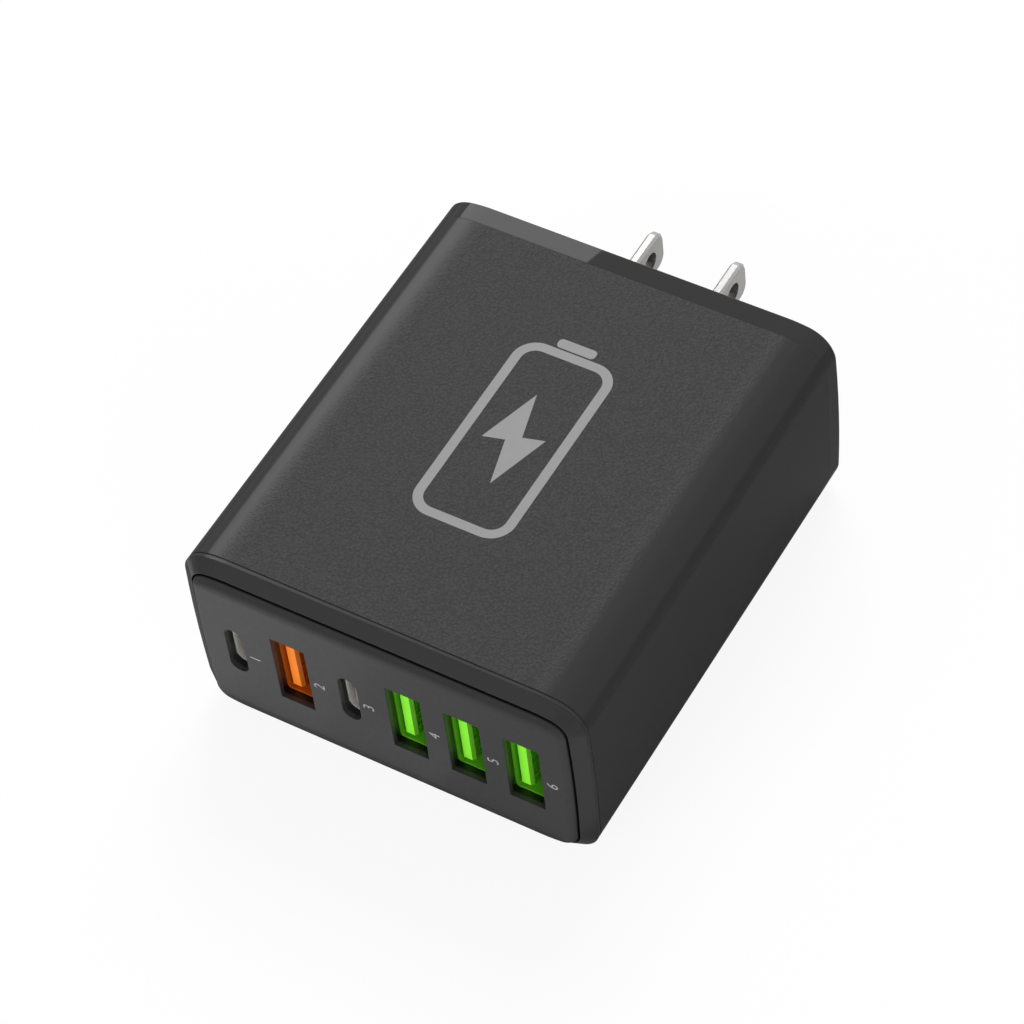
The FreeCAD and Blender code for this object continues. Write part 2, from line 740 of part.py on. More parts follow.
def make_boards():
    """The port board behind the receptacles, the main board on its rails and the sheet under it."""
    port_board = new_case_body("port_board")
    outline = new_sketch(port_board, "port_board_outline", port_board_back)
    draw_case_section(outline, s.case_wall + s.board_clearance)
    pad(outline, s.port_board_thickness)

    board_length = board_rear_y - board_front_y
    board_y = (board_rear_y + board_front_y) / 2
    make_block("main_board", board_width, board_length, s.main_board_thickness, (0, board_y, board_under))
    sheet_width = s.rail_spacing - s.rail_width - 2 * s.board_clearance
    sheet_place = (0, board_y, s.case_wall)
    make_block("insulating_sheet", sheet_width, board_length, s.insulating_sheet_thickness, sheet_place)


def make_pin_strip():
    """The strip of pins that joins the port board to the main board."""
    body = new_body("pin_strip", 0, board_front_y, board_top)
    block = new_sketch(body, "pin_strip_block")
    draw_rectangle(block, s.pin_strip_width, s.pin_strip_depth, 0, s.pin_strip_depth / 2)
    pad(block, s.pin_strip_height)
    pins = new_sketch(body, "pin_strip_pins", s.pin_strip_height)
    for x in centred(BOARD_PINS, s.pin_pitch):
        draw_rectangle(pins, s.pin_thickness, s.pin_thickness, x, s.pin_strip_depth / 2)
    pad(pins, s.pin_strip_height / 2)


def make_can(label, diameter, height, place):
    """An upright capacitor can."""
    body = new_body(label, *place)
    outline = new_sketch(body, label + "_outline")
    draw_circle(outline, diameter)
    pad(outline, height)


def make_chip(label, place, hangs=False):
    """A chip with a row of flat leads on each side, on the board or hanging under it."""
    width, depth, height = [getattr(s, f"{label}_{word}") for word in ("width", "depth", "height")]
    x, y, z = place
    if hangs:
        z = z - height
    body = new_body(label, x, y, z)
    block = new_sketch(body, label + "_block")
    draw_rectangle(block, width, depth)
    pad(block, height)
    lead_z = height - s.lead_sheet if hangs else as_size(0)
    rows = new_sketch(body, label + "_leads", lead_z)
    for lead_y in centred(CHIP_LEADS[label], s.lead_pitch):
        draw_rectangle(rows, width + 2 * s.lead_reach, s.lead_width, 0, lead_y)
    pad(rows, s.lead_sheet)


def make_fuse(place):
    """A tube fuse lying along the charger, with a metal cap at each end."""
    x, y, z = place
    body = new_body("fuse", x, y, z + s.fuse_diameter / 2)
    radius, half = s.fuse_diameter / 2, s.fuse_length / 2
    waist = radius - s.fuse_cap_step
    cap = half - s.fuse_cap_length
    profile = new_sketch(body, "fuse_profile", plane="YZ_Plane")
    draw_polygon(profile, [
        (-half, 0), (half, 0), (half, radius), (cap, radius),
        (cap, waist), (-cap, waist), (-cap, radius), (-half, radius),
    ])
    feature = body.newObject("PartDesign::Revolution", "fuse_turned")
    feature.Profile = profile
    feature.ReferenceAxis = (profile, ["H_Axis"])
    feature.Angle = 360


def make_choke(place):
    """The mains choke: a frame-shaped core that stands on the board, with a winding round each upright."""
    x, y, z = place
    leg, skin = s.choke_leg, s.choke_winding_thickness
    width, depth = s.choke_width - 2 * skin, s.choke_depth - 2 * skin
    middle = s.choke_height / 2
    window = s.choke_height - 2 * leg
    core = new_body("choke_core", x, y, z)
    frame = new_sketch(core, "choke_frame", plane="XZ_Plane")
    draw_rectangle(frame, width, s.choke_height, 0, middle)
    draw_rectangle(frame, width - 2 * leg, window, 0, middle)
    pad(frame, depth, both_ways=True)

    windings = []
    for number, side in enumerate((-1, 1), start=1):
        winding = doc.addObject("PartDesign::Body", f"choke_winding_{number}")
        move_to(winding, x + (width - leg) / 2 * side, y, z + leg)
        turns = new_sketch(winding, f"choke_turns_{number}")
        draw_rectangle(turns, leg + 2 * skin, s.choke_depth)
        draw_rectangle(turns, leg, depth)
        pad(turns, window)
        windings.append(winding)
    group = doc.addObject("Part::Compound", "choke_winding")
    group.Links = windings
    keep(group, "choke_winding")


def make_core_half(label, x, y, back_z, up):
    """One E-shaped half of the transformer's core, with its three legs pointing up or down."""
    body = new_body(label, x, y, back_z)
    half = s.transformer_width / 2
    slot_out = half - s.core_outer_leg
    slot_in = s.core_middle_leg / 2
    back, leg = s.core_back * up, transformer_height / 2 * up
    outline = new_sketch(body, label + "_outline", plane="XZ_Plane")
    draw_polygon(outline, [
        (-half, 0), (half, 0), (half, leg), (slot_out, leg), (slot_out, back), (slot_in, back),
        (slot_in, leg), (-slot_in, leg), (-slot_in, back), (-slot_out, back), (-slot_out, leg), (-half, leg),
    ])
    pad(outline, core_depth, both_ways=True)


def make_transformer(x, y):
    """The transformer: two core halves, the bobbin on the middle leg and the winding round it."""
    make_core_half("transformer_core_lower", x, y, board_top, 1)
    make_core_half("transformer_core_upper", x, y, board_top + transformer_height, -1)

    window = transformer_height - 2 * s.core_back - 2 * s.bobbin_clearance
    low = board_top + s.core_back + s.bobbin_clearance
    bore_depth = core_depth + 2 * s.bobbin_clearance
    bobbin = new_body("transformer_bobbin", x, y, low)
    tube = new_sketch(bobbin, "bobbin_tube")
    draw_rectangle(tube, bore_width + 2 * s.bobbin_wall, bore_depth + 2 * s.bobbin_wall)
    draw_rectangle(tube, bore_width, bore_depth)
    pad(tube, window)
    for place, floor in (("low", as_size(0)), ("high", window - s.bobbin_wall)):
        flange = new_sketch(bobbin, f"bobbin_{place}_flange", floor)
        draw_rectangle(flange, bore_width + flange_reach, bore_depth + flange_reach)
        draw_rectangle(flange, bore_width, bore_depth)
        pad(flange, s.bobbin_wall)

    winding = new_body("transformer_winding", x, y, low + s.bobbin_wall)
    coil = new_sketch(winding, "winding_coil")
    inside = 2 * s.bobbin_wall
    outside = flange_reach - 2 * s.winding_clearance
    draw_rectangle(coil, bore_width + outside, bore_depth + outside)
    draw_rectangle(coil, bore_width + inside, bore_depth + inside)
    pad(coil, window - 2 * s.bobbin_wall)


def make_disc(label, place):
    """A round disc capacitor that stands on its edge across the isolation gap."""
    x, y, z = place
    disc = doc.addObject("Part::Cylinder", label)
    disc.Placement.Rotation = FreeCAD.Rotation(FreeCAD.Vector(0, 1, 0), 90)
    bind(disc, "Radius", s.bridging_capacitor_diameter / 2)
    bind(disc, "Height", s.bridging_capacitor_thickness)
    move_to(disc, x - s.bridging_capacitor_thickness / 2, y, z + s.bridging_capacitor_diameter / 2)
    keep(disc, label)


def make_cooling(x, y):
    """The folded heat spreader under the case's top, and the pad between it and the transformer."""
    width = s.case_width - 2 * (s.case_wall + s.corner_radius)
    half = width / 2
    inside = half - s.spreader_sheet
    body = new_body("heat_spreader", 0, y, spreader_under)
    profile = new_sketch(body, "spreader_profile", plane="XZ_Plane")
    lip = s.spreader_sheet - s.spreader_lip
    draw_polygon(profile, [
        (-half, lip), (-inside, lip), (-inside, 0), (inside, 0),
        (inside, lip), (half, lip), (half, s.spreader_sheet), (-half, s.spreader_sheet),
    ])
    pad(profile, s.transformer_depth + 2 * s.spreader_overhang, both_ways=True)
    pad_place = (x, y, spreader_under - s.thermal_pad_thickness)
    make_block("thermal_pad", s.transformer_width, core_depth, s.thermal_pad_thickness, pad_place)


def make_board_pieces():
    """Set the pieces out on the main board in three rows, and the flat chips under it."""
    low_x, high_x = -board_width / 2, board_width / 2
    row_low = board_front_y + s.pin_strip_depth
    row_high = wall_y - s.rear_cover_thickness - s.blade_head_depth - s.terminal_foot
    row_depths = [s.output_capacitor_diameter, s.transformer_depth, s.bulk_capacitor_diameter]
    output_y, middle_y, mains_y = spread(row_depths, row_low, row_high)

    can, coil = s.output_capacitor_diameter, s.inductor_width
    output_x = spread([can, coil, can, coil, can], low_x, high_x)
    for number, x in enumerate(output_x[0::2], start=1):
        make_can(f"output_capacitor_{number}", can, s.output_capacitor_height, (x, output_y, board_top))
    for number, x in enumerate(output_x[1::2], start=1):
        make_block(f"buck_inductor_{number}", coil, coil, s.inductor_height, (x, output_y, board_top))

    chip_reach = 2 * s.lead_reach
    middle_widths = [
        s.optocoupler_width + chip_reach, s.transformer_width,
        s.bridging_capacitor_thickness, s.controller_chip_width + chip_reach,
    ]
    coupler_x, transformer_x, disc_x, controller_x = spread(middle_widths, low_x, high_x)
    make_chip("optocoupler", (coupler_x, middle_y, board_top))
    make_transformer(transformer_x, middle_y)
    make_disc("bridging_capacitor", (disc_x, middle_y, board_top))
    make_chip("controller_chip", (controller_x, middle_y, board_top))
    make_cooling(transformer_x, middle_y)

    bulk = s.bulk_capacitor_diameter
    mains_widths = [s.fuse_diameter, s.mains_capacitor_width, s.choke_width, bulk, bulk]
    fuse_x, filter_x, choke_x, *bulk_x = spread(mains_widths, low_x, high_x)
    make_fuse((fuse_x, mains_y, board_top))
    filter_sizes = (s.mains_capacitor_width, s.mains_capacitor_depth, s.mains_capacitor_height)
    make_block("mains_capacitor", *filter_sizes, (filter_x, mains_y, board_top))
    make_choke((choke_x, mains_y, board_top))
    for number, x in enumerate(bulk_x, start=1):
        make_can(f"bulk_capacitor_{number}", bulk, s.bulk_capacitor_height, (x, mains_y, board_top))

    under_depths = [s.synchronous_rectifier_depth, s.power_switch_depth, s.bridge_rectifier_depth]
    under_y = spread(under_depths, board_front_y, board_rear_y)
    for label, y in zip(("synchronous_rectifier", "power_switch", "bridge_rectifier"), under_y):
        make_chip(label, (as_size(0), y, board_under), hangs=True)


def make_charger():
    make_housing_sleeve()
    make_port_panel()
    make_rear_cover()
    for name, side in (("left", -1), ("right", 1)):
        make_plug_blade(f"plug_blade_{name}", side)
        make_blade_terminal(f"blade_terminal_{name}", side)
    makers = {"a": make_usb_a_receptacle, "c": make_usb_c_receptacle}
    for kind, make_receptacle in makers.items():
        places = [index for index, port in enumerate(PORT_ROW) if port == kind]
        for number, index in enumerate(places, start=1):
            make_receptacle(number, port_x(index))
    make_boards()
    make_pin_strip()
    make_board_pieces()


def check_charger():
    """Stop if anything failed to build, or a cut took nothing away."""
    for thing in doc.Objects:
        if "Invalid" in thing.State or "Error" in thing.State:
            raise RuntimeError(f"{thing.Label} did not build: {thing.State}")
        if thing.TypeId == "PartDesign::Pocket" and thing.Shape.Volume >= thing.BaseFeature.Shape.Volume:
            raise RuntimeError(f"{thing.Label} cuts nothing")
    for piece in sub_parts:
        if piece.Shape.isNull() or not piece.Shape.isValid() or not piece.Shape.Solids:
            raise RuntimeError(f"{piece.Label} has no valid solid")


make_charger()
doc.recompute()
check_charger()
os.makedirs("parts", exist_ok=True)
for piece in sub_parts:
    piece.Shape.exportStep(f"parts/{piece.Label}.step")
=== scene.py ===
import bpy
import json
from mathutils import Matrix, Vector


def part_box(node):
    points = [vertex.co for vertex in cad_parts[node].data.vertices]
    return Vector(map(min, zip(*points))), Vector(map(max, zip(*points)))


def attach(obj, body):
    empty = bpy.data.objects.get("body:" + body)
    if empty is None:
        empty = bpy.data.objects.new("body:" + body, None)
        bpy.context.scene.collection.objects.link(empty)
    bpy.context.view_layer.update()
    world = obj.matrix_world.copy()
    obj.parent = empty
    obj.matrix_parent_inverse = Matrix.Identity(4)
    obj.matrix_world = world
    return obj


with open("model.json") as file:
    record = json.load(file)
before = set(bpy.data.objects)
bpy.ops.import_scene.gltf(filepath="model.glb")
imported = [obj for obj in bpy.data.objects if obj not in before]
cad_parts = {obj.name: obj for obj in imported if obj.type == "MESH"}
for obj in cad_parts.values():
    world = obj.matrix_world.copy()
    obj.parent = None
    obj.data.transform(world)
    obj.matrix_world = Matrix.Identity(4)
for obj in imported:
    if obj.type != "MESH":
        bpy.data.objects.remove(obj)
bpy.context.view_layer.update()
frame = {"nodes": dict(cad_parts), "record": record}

import json
from math import cos, pi, radians, sin

import bmesh
import bpy
from mathutils import Matrix, Vector

# A wall charger with six ports. Lengths are in metres, in the frame of the CAD model.
# X is the width, +Y points at the wall, Z is up from the face that the charger lies on.

MM = 0.001
Y, Z = 1, 2
scene = bpy.context.scene
nodes = frame["nodes"]
mounts = frame["record"]["mounts"]
case_low, case_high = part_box("housing_sleeve")
panel_low, panel_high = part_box("port_panel")
front_y = panel_low.y
top_z = case_high.z
middle_z = (case_low.z + case_high.z) / 2


# Helpers for node trees

def new_material(name, colour, roughness, specular=0.5, metallic=0.0):
    """A Principled material. Returns it with its tree and its shader, ready for more nodes."""
    material = bpy.data.materials.new(name)
    material.use_nodes = True
    tree = material.node_tree
    shader = tree.nodes["Principled BSDF"]
    shader.inputs["Base Color"].default_value = (*colour, 1)
    shader.inputs["Roughness"].default_value = roughness
    shader.inputs["Specular IOR Level"].default_value = specular
    shader.inputs["Metallic"].default_value = metallic
    return material, tree, shader


def add(tree, kind, sockets=None, **settings):
    """Add a node, set its properties, and link or set its inputs by name or number."""
    node = tree.nodes.new(kind)
    for key, value in settings.items():
        setattr(node, key, value)
    for key, value in (sockets or {}).items():
        if isinstance(value, bpy.types.NodeSocket):
            tree.links.new(value, node.inputs[key])
        else:
            node.inputs[key].default_value = value
    return node


def position(tree):
    """The place on the part, in the metres of the frame."""
    return add(tree, "ShaderNodeTexCoord").outputs["Object"]


def split(tree, vector):
    """The X, Y and Z of a vector."""
    return add(tree, "ShaderNodeSeparateXYZ", {"Vector": vector}).outputs


def stretched(tree, scale):
    return add(tree, "ShaderNodeMapping", {"Vector": position(tree), "Scale": scale}).outputs["Vector"]


def noise(tree, size, detail=3.0, vector=None):
    sockets = {"Vector": vector or position(tree), "Scale": 1 / size, "Detail": detail, "Roughness": 0.5}
    return add(tree, "ShaderNodeTexNoise", sockets).outputs["Fac"]


def remap(tree, value, low, high, start=0.0, end=1.0):
    """Carry a value from the range start to end over to the range low to high."""
    sockets = {"Value": value, "From Min": start, "From Max": end, "To Min": low, "To Max": high}
    return add(tree, "ShaderNodeMapRange", sockets).outputs["Result"]


def compute(tree, operation, *values):
    return add(tree, "ShaderNodeMath", dict(enumerate(values)), operation=operation).outputs[0]


def between(tree, factor, first, second):
    """A colour that runs from the first to the second with the factor."""
    node = add(tree, "ShaderNodeMix", data_type="RGBA")
    tree.links.new(factor, node.inputs["Factor"])
    for socket, colour in ((node.inputs[6], first), (node.inputs[7], second)):
        if isinstance(colour, bpy.types.NodeSocket):
            tree.links.new(colour, socket)
        else:
            socket.default_value = (*colour, 1)
    return node.outputs[2]


def bumped(tree, height, depth, normal=None):
    sockets = {"Height": height, "Distance": depth, "Strength": 1.0}
    if normal is not None:
        sockets["Normal"] = normal
    return add(tree, "ShaderNodeBump", sockets).outputs["Normal"]


def raise_surface(tree, shader, height, depth, normal=None):
    tree.links.new(bumped(tree, height, depth, normal), shader.inputs["Normal"])


def soften(tree, radius):
    """A normal that rounds sharp edges a little, as moulding and tumbling do."""
    return add(tree, "ShaderNodeBevel", {"Radius": radius}, samples=4).outputs["Normal"]


def shaded(colour, share):
    return tuple(share * level for level in colour)


def vary(tree, shader, colour, spread, size, roughness, roughness_spread):
    """Let the colour and the roughness drift a little over the surface."""
    drift = noise(tree, size)
    drifting = between(tree, drift, shaded(colour, 1 - spread), shaded(colour, 1 + spread))
    tree.links.new(drifting, shader.inputs["Base Color"])
    fine = noise(tree, size / 7)
    low, high = roughness - roughness_spread, roughness + roughness_spread
    tree.links.new(remap(tree, fine, low, high, 0.3, 0.7), shader.inputs["Roughness"])


# Materials

def grained_plastic():
    """Dark plastic with a leather-like grain on its flat faces, smooth on the rim and round the edges.
    Painted shade darkens the grain's pits and the front rim, and painted highlight lightens the grain's peaks
    and the rim's strip along the trim line.
    """
    # The rim colour is darker by painted shade, the lip colour lighter by painted highlight, and the pit and
    # peak colours carry painted shade and highlight on the grain
    shaded_rim_colour = (0.0225, 0.0225, 0.023)
    lit_lip_colour = (0.036, 0.036, 0.0365)
    side_colour = (0.029, 0.029, 0.0295)
    shaded_pit_colour = (0.036, 0.036, 0.0365)
    lit_peak_colour = (0.058, 0.058, 0.0585)
    smooth_roughness, grain_roughness = 0.2, 0.56
    cell_size, ripple_size, grain_depth = 0.36 * MM, 0.34 * MM, 0.09 * MM
    lip_y = case_low.y + 1.45 * MM
    trim_y = case_low.y + 2.03 * MM
    fade_start = case_high.x - 8.2 * MM
    fade_end = case_high.x - 4.9 * MM

    material, tree, shader = new_material("grained_plastic", lit_peak_colour, grain_roughness)
    x, y, _ = split(tree, position(tree))
    behind_rim = compute(tree, "GREATER_THAN", y, trim_y)
    on_flat = remap(tree, compute(tree, "ABSOLUTE", x), 1.0, 0.0, fade_start, fade_end)
    grained = compute(tree, "MULTIPLY", behind_rim, on_flat)

    cell_sockets = {"Vector": position(tree), "Scale": 1 / cell_size, "Randomness": 1.0, "Smoothness": 0.4}
    cells = add(tree, "ShaderNodeTexVoronoi", cell_sockets, feature="SMOOTH_F1")
    ripple = noise(tree, ripple_size, detail=2.0)
    grain = compute(tree, "SUBTRACT", ripple, cells.outputs["Distance"])
    height = compute(tree, "MULTIPLY", grain, grained)
    raise_surface(tree, shader, height, grain_depth, soften(tree, 0.12 * MM))

    # Painted shade darkens the pits of the grain and painted highlight lightens its peaks
    grain_shade_and_highlight = between(tree, remap(tree, grain, 0.0, 1.0, -0.15, 0.45), shaded_pit_colour, lit_peak_colour)
    # The front rim is darker than the sides by painted shade, with a painted highlight on the strip along the
    # trim line
    front_colour = between(tree, compute(tree, "GREATER_THAN", y, lip_y), shaded_rim_colour, lit_lip_colour)
    smooth_colour = between(tree, behind_rim, front_colour, side_colour)
    tree.links.new(between(tree, grained, smooth_colour, grain_shade_and_highlight), shader.inputs["Base Color"])
    tree.links.new(remap(tree, grained, smooth_roughness, grain_roughness), shader.inputs["Roughness"])
    return material


def satin_plastic():
    """Smooth dark plastic that rolls off to its long edges, with painted shade that turns it black in the
    seam behind them.
    """
    colour, seam_shade_colour = (0.032, 0.032, 0.0325), (0.002, 0.002, 0.002)
    seam_start, seam_end = case_low.y - 0.22 * MM, case_low.y - 0.10 * MM
    roll_width, roll_radius = 2.4 * MM, 2.8 * MM
    roll_start = panel_high.z - middle_z - roll_width

    material, tree, shader = new_material("satin_plastic", colour, 0.42)
    _, y, z = split(tree, position(tree))
    # Painted shade: the plastic is black inside the seam behind the rim
    in_shaded_seam = remap(tree, y, 0.0, 1.0, seam_start, seam_end)
    tree.links.new(between(tree, in_shaded_seam, colour, seam_shade_colour), shader.inputs["Base Color"])
    tree.links.new(remap(tree, noise(tree, 0.9 * MM), 0.39, 0.45, 0.3, 0.7), shader.inputs["Roughness"])

    from_middle = compute(tree, "ABSOLUTE", compute(tree, "SUBTRACT", z, middle_z))
    beyond = compute(tree, "MAXIMUM", compute(tree, "SUBTRACT", from_middle, roll_start), 0.0)
    drop = compute(tree, "MULTIPLY", compute(tree, "MULTIPLY", beyond, beyond), -0.5 / roll_radius)
    rolled = bumped(tree, drop, 1.0, soften(tree, 0.12 * MM))
    raise_surface(tree, shader, noise(tree, 0.25 * MM, detail=2.0), 0.003 * MM, rolled)
    return material


def gloss_plastic():
    """Dark plastic, as smooth as a polished mould leaves it."""
    colour, roughness = (0.030, 0.030, 0.0305), 0.012
    material, tree, shader = new_material("gloss_plastic", colour, roughness)
    vary(tree, shader, colour, 0.04, 6 * MM, roughness, 0.004)
    raise_surface(tree, shader, noise(tree, 5 * MM, detail=1.0), 0.001 * MM, soften(tree, 0.1 * MM))
    return material


def sheet_metal(name, colour, roughness, along, metallic=1.0, depth=0.003 * MM):
    """Plated metal with fine drawing lines along one axis."""
    material, tree, shader = new_material(name, colour, roughness, metallic=metallic)
    scale = [1.0, 1.0, 1.0]
    scale[along] = 0.04
    lines = noise(tree, 0.12 * MM, vector=stretched(tree, scale))
    low, high = roughness - 0.07, roughness + 0.07
    tree.links.new(remap(tree, lines, low, high, 0.3, 0.7), shader.inputs["Roughness"])
    drift = between(tree, noise(tree, 2 * MM), shaded(colour, 0.93), colour)
    tree.links.new(drift, shader.inputs["Base Color"])
    raise_surface(tree, shader, lines, depth, soften(tree, 0.08 * MM))
    return material


def blade_metal():
    """Smooth nickel plate, dull and darker on the wall of the punched hole, where shade is painted."""
    plate_colour, hole_shade_colour = (0.95, 0.94, 0.91), (0.32, 0.31, 0.28)
    hole = next(mount for mount in mounts if mount["name"] == "blade_hole_left")
    _, hole_y, hole_z = hole["pos_m"]
    hole_edge = (hole["dims"]["r_mm"] + 0.04) * MM

    material, tree, shader = new_material("blade_metal", plate_colour, 0.22, metallic=0.68)
    _, y, z = split(tree, position(tree))
    along = compute(tree, "SUBTRACT", y, hole_y)
    above = compute(tree, "SUBTRACT", z, hole_z)
    squares = [compute(tree, "MULTIPLY", side, side) for side in (along, above)]
    in_shaded_hole = compute(tree, "LESS_THAN", compute(tree, "ADD", *squares), hole_edge ** 2)
    lines = noise(tree, 0.5 * MM, detail=1.0, vector=stretched(tree, (1.0, 0.04, 1.0)))
    tree.links.new(remap(tree, lines, 0.20, 0.24, 0.3, 0.7), shader.inputs["Roughness"])
    drift = between(tree, noise(tree, 4 * MM, detail=1.0), shaded(plate_colour, 0.96), plate_colour)
    # Painted shade darkens the wall of the punched hole
    tree.links.new(between(tree, in_shaded_hole, drift, hole_shade_colour), shader.inputs["Base Color"])
    tree.links.new(soften(tree, 0.1 * MM), shader.inputs["Normal"])
    return material


def moulded(name, colour, roughness=0.4, specular=0.4, grain=0.3 * MM, depth=0.006 * MM):
    """A moulded or sintered surface with fine texture."""
    material, tree, shader = new_material(name, colour, roughness, specular)
    vary(tree, shader, colour, 0.06, 12 * grain, roughness, 0.05)
    raise_surface(tree, shader, noise(tree, grain, detail=2.0), depth, soften(tree, 0.05 * MM))
    return material


def tongue_plastic(name, colour):
    """Moulded plastic with painted shade on the side of the tongue that carries the contacts."""
    material = moulded(name, colour)
    tree = material.node_tree
    base_colour = tree.nodes["Principled BSDF"].inputs["Base Color"]
    front_colour = base_colour.links[0].from_socket
    facing_x, _, _ = split(tree, add(tree, "ShaderNodeTexCoord").outputs["Normal"])
    shaded_contact_side = compute(tree, "GREATER_THAN", facing_x, 0.3)
    # Painted shade: the side that faces +X and carries the contacts is darker
    tree.links.new(between(tree, shaded_contact_side, front_colour, shaded(colour, 0.42)), base_colour)
    return material


def wound(name, colour, along):
    """Enamelled wire laid in turns, seen as fine ridges, with painted shade in the grooves between them."""
    turn_width = 0.5 * MM
    material, tree, shader = new_material(name, colour, 0.35, metallic=0.6)
    wave_sockets = {"Vector": position(tree), "Scale": 0.32 / turn_width, "Distortion": 0.4, "Detail": 1.0}
    wave = add(tree, "ShaderNodeTexWave", wave_sockets, wave_type="BANDS", bands_direction="XYZ"[along])
    turns = wave.outputs["Fac"]
    # Painted shade darkens the grooves between the turns
    tree.links.new(between(tree, turns, shaded(colour, 0.55), colour), shader.inputs["Base Color"])
    raise_surface(tree, shader, turns, 0.08 * MM)
    return material


def circuit_board():
    """Green solder mask over fields of copper, slightly uneven."""
    material, tree, shader = new_material("board", (0.02, 0.11, 0.045), 0.35)
    copper = add(tree, "ShaderNodeTexBrick", {
        "Vector": position(tree), "Scale": 1 / (6 * MM), "Mortar Size": 0.03,
        "Color1": (0.022, 0.13, 0.05, 1), "Color2": (0.018, 0.10, 0.04, 1), "Mortar": (0.012, 0.07, 0.03, 1)})
    tree.links.new(copper.outputs["Color"], shader.inputs["Base Color"])
    raise_surface(tree, shader, noise(tree, 0.4 * MM), 0.01 * MM)
    return material


# The materials of the CAD nodes, by the record's slot names

slots = {
    "grained_plastic": grained_plastic(),
    "satin_plastic": satin_plastic(),
    "gloss_plastic": gloss_plastic(),
    "blade_metal": blade_metal(),
    "shell_metal": sheet_metal("shell_metal", (0.92, 0.90, 0.85), 0.35, Y, metallic=0.2, depth=0.0005 * MM),
    "contact_metal": sheet_metal("contact_metal", (0.80, 0.60, 0.30), 0.3, Y),
    "can_metal": sheet_metal("can_metal", (0.62, 0.63, 0.65), 0.35, Z),
    "orange_plastic": tongue_plastic("orange_plastic", (0.97, 0.25, 0.025)),
    "green_plastic": tongue_plastic("green_plastic", (0.26, 0.90, 0.04)),
    "grey_plastic": moulded("grey_plastic", (0.42, 0.41, 0.38)),
    "black_plastic": moulded("black_plastic", (0.02, 0.02, 0.021)),
    "board": circuit_board(),
    "ferrite": moulded("ferrite", (0.05, 0.05, 0.055), 0.6, 0.3, grain=0.15 * MM, depth=0.02 * MM),
    "winding": wound("winding", (0.72, 0.30, 0.10), Z),
    "chip_plastic": moulded("chip_plastic", (0.025, 0.025, 0.027), 0.55, 0.3),
    "thermal_pad": moulded("thermal_pad", (0.36, 0.42, 0.50), 0.75, 0.2, grain=0.5 * MM, depth=0.02 * MM),
    "insulating_sheet": moulded(
        "insulating_sheet", (0.72, 0.71, 0.65), 0.3, 0.5, grain=2 * MM, depth=0.02 * MM),
    "fuse_ceramic": moulded("fuse_ceramic", (0.70, 0.68, 0.62), 0.35, 0.5),
    "capacitor_case": moulded("capacitor_case", (0.68, 0.54, 0.09), 0.4, 0.5),
    "capacitor_coat": moulded(
        "capacitor_coat", (0.05, 0.18, 0.52), 0.3, 0.5, grain=1.5 * MM, depth=0.04 * MM),
}

# A USB-A shell takes a darker copy of its own tongue's colour, a painted reflection of the tongue in the
# shell walls, darkened as painted shade
tongue_reflection_tints = {
    "orange_plastic": sheet_metal("orange_shell_tint", (0.62, 0.13, 0.01), 0.35, Y, metallic=0.25),
    "green_plastic": sheet_metal("green_shell_tint", (0.14, 0.56, 0.02), 0.35, Y, metallic=0.25),
}


def dress(obj, material):
    obj.data.materials.clear()
    obj.data.materials.append(material)


SHARP_ANGLE = radians(28)
WELD_DISTANCE = 0.001 * MM
slot_of = {part["node"]: part["material_slot"] for part in frame["record"]["subparts"]}
for name, slot in slot_of.items():
    node = nodes[name]
    dress(node, slots[slot])
    if name.startswith("usb_a_shell"):
        # Painted reflection of the tongue's colour, with painted shade, on the shell walls
        dress(node, tongue_reflection_tints[slot_of[name.replace("shell", "insulator")]])
    for polygon in node.data.polygons:
        polygon.use_smooth = True
    weld = node.modifiers.new("weld", "WELD")
    weld.merge_threshold = WELD_DISTANCE
    sharp = node.modifiers.new("sharp_edges", "EDGE_SPLIT")
    sharp.split_angle = SHARP_ANGLE
    even = node.modifiers.new("flat_faces", "WEIGHTED_NORMAL")
    even.keep_sharp = True


# Prints on the case

INK_COLOUR = (0.29, 0.29, 0.295)
INK_ROUGHNESS = 0.55
INK_DEPTH = 0.03 * MM
INK_PROUD = 0.01 * MM
ink, ink_tree, ink_shader = new_material("print_ink", INK_COLOUR, INK_ROUGHNESS, specular=0.3)
vary(ink_tree, ink_shader, INK_COLOUR, 0.05, 2 * MM, INK_ROUGHNESS, 0.05)
raise_surface(ink_tree, ink_shader, noise(ink_tree, 0.3 * MM, detail=2.0), 0.006 * MM)


def add_print(name, mesh):
    obj = bpy.data.objects.new(name, mesh)
    scene.collection.objects.link(obj)
    dress(obj, ink)
    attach(obj, "root")


def finished_mesh(name, shape, matrix):
    """The mesh of a shape. The matrix carries x, y and height to the case."""
    shape.transform(matrix)
    mesh = bpy.data.meshes.new(name)
    shape.to_mesh(mesh)
    shape.free()
    return mesh


def slab_mesh(name, corners, matrix):
    """A flat closed shape of ink, given by its corners."""
    shape = bmesh.new()
    low = [shape.verts.new((x, y, INK_PROUD - INK_DEPTH)) for x, y in corners]
    high = [shape.verts.new((x, y, INK_PROUD)) for x, y in corners]
    shape.faces.new(high)
    shape.faces.new(low[::-1])
    for i, corner in enumerate(low):
        following = (i + 1) % len(low)
        shape.faces.new((corner, low[following], high[following], high[i]))
    return finished_mesh(name, shape, matrix)


